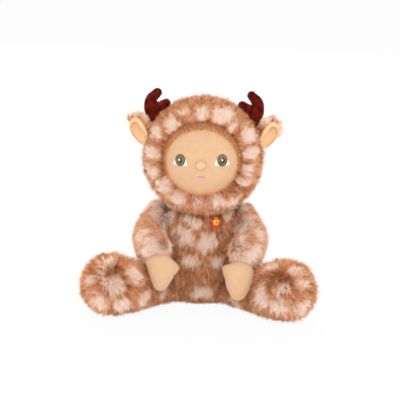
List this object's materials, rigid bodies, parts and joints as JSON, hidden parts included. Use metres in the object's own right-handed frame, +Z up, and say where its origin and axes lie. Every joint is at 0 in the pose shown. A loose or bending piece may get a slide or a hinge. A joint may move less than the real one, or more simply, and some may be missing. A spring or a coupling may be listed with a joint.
{
  "type": "plush doll",
  "caption": "Seated plush doll in a hooded fawn suit of spotted long pile, with ears, antlers and a cloth face, whose head, arms and legs turn where they are sewn on.",
  "frame": {"origin": "middle of the flat seat that the doll sits on, below the torso", "axes": "+X to the doll's side at the viewer's right, -Y the way the doll looks, +Z up"},
  "size_m": [0.2282, 0.1544, 0.2115],
  "materials": {
    "pile_cloth": "long-pile plush, tan with cream spots",
    "lining_pile": "short-pile plush",
    "skin_cloth": "brushed jersey",
    "ear_cloth": "brushed jersey",
    "antler_velour": "short velour",
    "white_thread": "satin embroidery",
    "iris_thread": "satin embroidery",
    "mouth_thread": "satin embroidery",
    "motif_thread": "satin embroidery",
    "stuffing": "loose fibre",
    "pellet_cloth": "plain woven cloth"
  },
  "bodies": {
    "torso": {"torso": "pile_cloth", "torso_filling": "stuffing", "pellet_bag": "pellet_cloth", "chest_motif": "motif_thread"},
    "head": {"hood": "pile_cloth", "hood_lining": "lining_pile", "head": "skin_cloth", "head_filling": "stuffing", "nose": "skin_cloth", "eye_white_left": "white_thread", "eye_white_right": "white_thread", "iris_left": "iris_thread", "iris_right": "iris_thread", "mouth": "mouth_thread", "ear_left": "pile_cloth", "ear_right": "pile_cloth", "ear_lining_left": "ear_cloth", "ear_lining_right": "ear_cloth", "antler_left": "antler_velour", "antler_right": "antler_velour"},
    "arm_left": {"sleeve_left": "pile_cloth", "sleeve_filling_left": "stuffing", "hand_left": "skin_cloth"},
    "leg_left": {"leg_left": "pile_cloth", "leg_filling_left": "stuffing"},
    "arm_right": {"sleeve_right": "pile_cloth", "sleeve_filling_right": "stuffing", "hand_right": "skin_cloth"},
    "leg_right": {"leg_right": "pile_cloth", "leg_filling_right": "stuffing"}
  },
  "joints": [
    {"name": "neck", "type": "hinge", "parent": "torso", "child": "head", "pos_m": [0, -0.005, 0.1467], "axis": [0, 0, 1], "range_deg": [-40, 40]},
    {"name": "shoulder_left", "type": "hinge", "parent": "torso", "child": "arm_left", "pos_m": [-0.04555, -0.003, 0.084], "axis": [-0.866, 0.5, 0], "range_deg": [0, 45]},
    {"name": "shoulder_right", "type": "hinge", "parent": "torso", "child": "arm_right", "pos_m": [0.04555, -0.003, 0.084], "axis": [-0.866, -0.5, 0], "range_deg": [0, 45]},
    {"name": "hip_left", "type": "hinge", "parent": "torso", "child": "leg_left", "pos_m": [-0.024, -0.021, 0.0125], "axis": [0.6198, -0.7848, 0], "range_deg": [0, 70]},
    {"name": "hip_right", "type": "hinge", "parent": "torso", "child": "leg_right", "pos_m": [0.024, -0.021, 0.0125], "axis": [0.6198, 0.7848, 0], "range_deg": [0, 70]}
  ]
}
